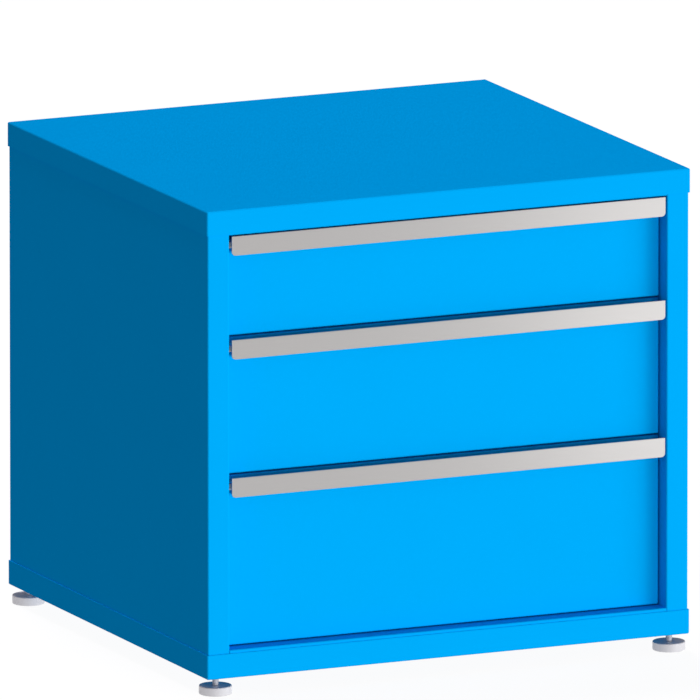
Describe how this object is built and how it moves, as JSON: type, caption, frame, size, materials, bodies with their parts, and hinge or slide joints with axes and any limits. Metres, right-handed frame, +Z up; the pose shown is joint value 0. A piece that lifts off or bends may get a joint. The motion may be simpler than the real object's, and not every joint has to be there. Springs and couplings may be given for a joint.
{
  "type": "modular drawer cabinet",
  "caption": "Low sheet steel drawer cabinet with lid-like cover, base tray, drawers of rising depth with full-width metal pulls, telescopic slides and round levelling feet.",
  "frame": {"origin": "on the floor, under the middle of the cabinet's bounding box", "axes": "+X to the right seen from the front, -Y out of the drawer fronts, +Z up"},
  "size_m": [0.7646, 0.7138, 0.7112],
  "materials": {
    "blue_paint": "smooth semi-gloss powder coat",
    "brushed_aluminium": "satin, brushed along its length",
    "zinc_steel": "bright zinc plated",
    "ball_steel": "polished",
    "zinc_foot": "turned and zinc plated"
  },
  "bodies": {
    "cabinet": {"top_cover": "blue_paint", "base_tray": "blue_paint", "left_side_panel": "blue_paint", "right_side_panel": "blue_paint", "back_panel": "blue_paint", "header_rail": "blue_paint", "bottom_rail": "blue_paint", "left_front_upright": "zinc_steel", "left_rear_upright": "zinc_steel", "right_front_upright": "zinc_steel", "right_rear_upright": "zinc_steel", "leveller_bushings": "zinc_steel", "back_panel_screws": "zinc_steel", "slide_bolts": "zinc_steel", "slide_nuts": "zinc_steel", "bottom_left_cabinet_rail": "zinc_steel", "bottom_right_cabinet_rail": "zinc_steel", "middle_left_cabinet_rail": "zinc_steel", "middle_right_cabinet_rail": "zinc_steel", "top_left_cabinet_rail": "zinc_steel", "top_right_cabinet_rail": "zinc_steel"},
    "bottom_drawer": {"bottom_drawer_pan": "blue_paint", "bottom_drawer_pull": "brushed_aluminium", "bottom_drawer_box": "blue_paint", "bottom_left_drawer_rail": "zinc_steel", "bottom_right_drawer_rail": "zinc_steel", "bottom_drawer_screws": "zinc_steel"},
    "bottom_mid_rails": {"bottom_left_mid_rail": "zinc_steel", "bottom_right_mid_rail": "zinc_steel"},
    "bottom_outer_ball_cages_pair": {"bottom_outer_ball_cages": "ball_steel"},
    "bottom_inner_ball_cages_pair": {"bottom_inner_ball_cages": "ball_steel"},
    "middle_drawer": {"middle_drawer_pan": "blue_paint", "middle_drawer_pull": "brushed_aluminium", "middle_drawer_box": "blue_paint", "middle_left_drawer_rail": "zinc_steel", "middle_right_drawer_rail": "zinc_steel", "middle_drawer_screws": "zinc_steel"},
    "middle_mid_rails": {"middle_left_mid_rail": "zinc_steel", "middle_right_mid_rail": "zinc_steel"},
    "middle_outer_ball_cages_pair": {"middle_outer_ball_cages": "ball_steel"},
    "middle_inner_ball_cages_pair": {"middle_inner_ball_cages": "ball_steel"},
    "top_drawer": {"top_drawer_pan": "blue_paint", "top_drawer_pull": "brushed_aluminium", "top_drawer_box": "blue_paint", "top_left_drawer_rail": "zinc_steel", "top_right_drawer_rail": "zinc_steel", "top_drawer_screws": "zinc_steel"},
    "top_mid_rails": {"top_left_mid_rail": "zinc_steel", "top_right_mid_rail": "zinc_steel"},
    "top_outer_ball_cages_pair": {"top_outer_ball_cages": "ball_steel"},
    "top_inner_ball_cages_pair": {"top_inner_ball_cages": "ball_steel"},
    "front_left_foot": {"front_left_foot_pad": "zinc_foot", "front_left_foot_stud": "zinc_foot"},
    "front_right_foot": {"front_right_foot_pad": "zinc_foot", "front_right_foot_stud": "zinc_foot"},
    "rear_left_foot": {"rear_left_foot_pad": "zinc_foot", "rear_left_foot_stud": "zinc_foot"},
    "rear_right_foot": {"rear_right_foot_pad": "zinc_foot", "rear_right_foot_stud": "zinc_foot"}
  },
  "joints": [
    {"name": "bottom_drawer_slide", "type": "slide", "parent": "cabinet", "child": "bottom_drawer", "axis": [0, -1, 0], "range_m": [0, 0.64]},
    {"name": "bottom_mid_rails_slide", "type": "slide", "parent": "cabinet", "child": "bottom_mid_rails", "axis": [0, -1, 0], "range_m": [0, 0.32]},
    {"name": "bottom_outer_ball_cages_slide", "type": "slide", "parent": "cabinet", "child": "bottom_outer_ball_cages_pair", "axis": [0, -1, 0], "range_m": [0, 0.16]},
    {"name": "bottom_inner_ball_cages_slide", "type": "slide", "parent": "cabinet", "child": "bottom_inner_ball_cages_pair", "axis": [0, -1, 0], "range_m": [0, 0.48]},
    {"name": "middle_drawer_slide", "type": "slide", "parent": "cabinet", "child": "middle_drawer", "axis": [0, -1, 0], "range_m": [0, 0.64]},
    {"name": "middle_mid_rails_slide", "type": "slide", "parent": "cabinet", "child": "middle_mid_rails", "axis": [0, -1, 0], "range_m": [0, 0.32]},
    {"name": "middle_outer_ball_cages_slide", "type": "slide", "parent": "cabinet", "child": "middle_outer_ball_cages_pair", "axis": [0, -1, 0], "range_m": [0, 0.16]},
    {"name": "middle_inner_ball_cages_slide", "type": "slide", "parent": "cabinet", "child": "middle_inner_ball_cages_pair", "axis": [0, -1, 0], "range_m": [0, 0.48]},
    {"name": "top_drawer_slide", "type": "slide", "parent": "cabinet", "child": "top_drawer", "axis": [0, -1, 0], "range_m": [0, 0.64]},
    {"name": "top_mid_rails_slide", "type": "slide", "parent": "cabinet", "child": "top_mid_rails", "axis": [0, -1, 0], "range_m": [0, 0.32]},
    {"name": "top_outer_ball_cages_slide", "type": "slide", "parent": "cabinet", "child": "top_outer_ball_cages_pair", "axis": [0, -1, 0], "range_m": [0, 0.16]},
    {"name": "top_inner_ball_cages_slide", "type": "slide", "parent": "cabinet", "child": "top_inner_ball_cages_pair", "axis": [0, -1, 0], "range_m": [0, 0.48]},
    {"name": "front_left_foot_height", "type": "slide", "parent": "cabinet", "child": "front_left_foot", "axis": [0, 0, 1], "range_m": [-0.019, 0.011]},
    {"name": "front_right_foot_height", "type": "slide", "parent": "cabinet", "child": "front_right_foot", "axis": [0, 0, 1], "range_m": [-0.019, 0.011]},
    {"name": "rear_left_foot_height", "type": "slide", "parent": "cabinet", "child": "rear_left_foot", "axis": [0, 0, 1], "range_m": [-0.019, 0.011]},
    {"name": "rear_right_foot_height", "type": "slide", "parent": "cabinet", "child": "rear_right_foot", "axis": [0, 0, 1], "range_m": [-0.019, 0.011]}
  ],
  "couplings": [
    {"joint": "bottom_mid_rails_slide", "follows": "bottom_drawer_slide", "ratio": 0.5},
    {"joint": "bottom_outer_ball_cages_slide", "follows": "bottom_drawer_slide", "ratio": 0.25},
    {"joint": "bottom_inner_ball_cages_slide", "follows": "bottom_drawer_slide", "ratio": 0.75},
    {"joint": "middle_mid_rails_slide", "follows": "middle_drawer_slide", "ratio": 0.5},
    {"joint": "middle_outer_ball_cages_slide", "follows": "middle_drawer_slide", "ratio": 0.25},
    {"joint": "middle_inner_ball_cages_slide", "follows": "middle_drawer_slide", "ratio": 0.75},
    {"joint": "top_mid_rails_slide", "follows": "top_drawer_slide", "ratio": 0.5},
    {"joint": "top_outer_ball_cages_slide", "follows": "top_drawer_slide", "ratio": 0.25},
    {"joint": "top_inner_ball_cages_slide", "follows": "top_drawer_slide", "ratio": 0.75}
  ]
}
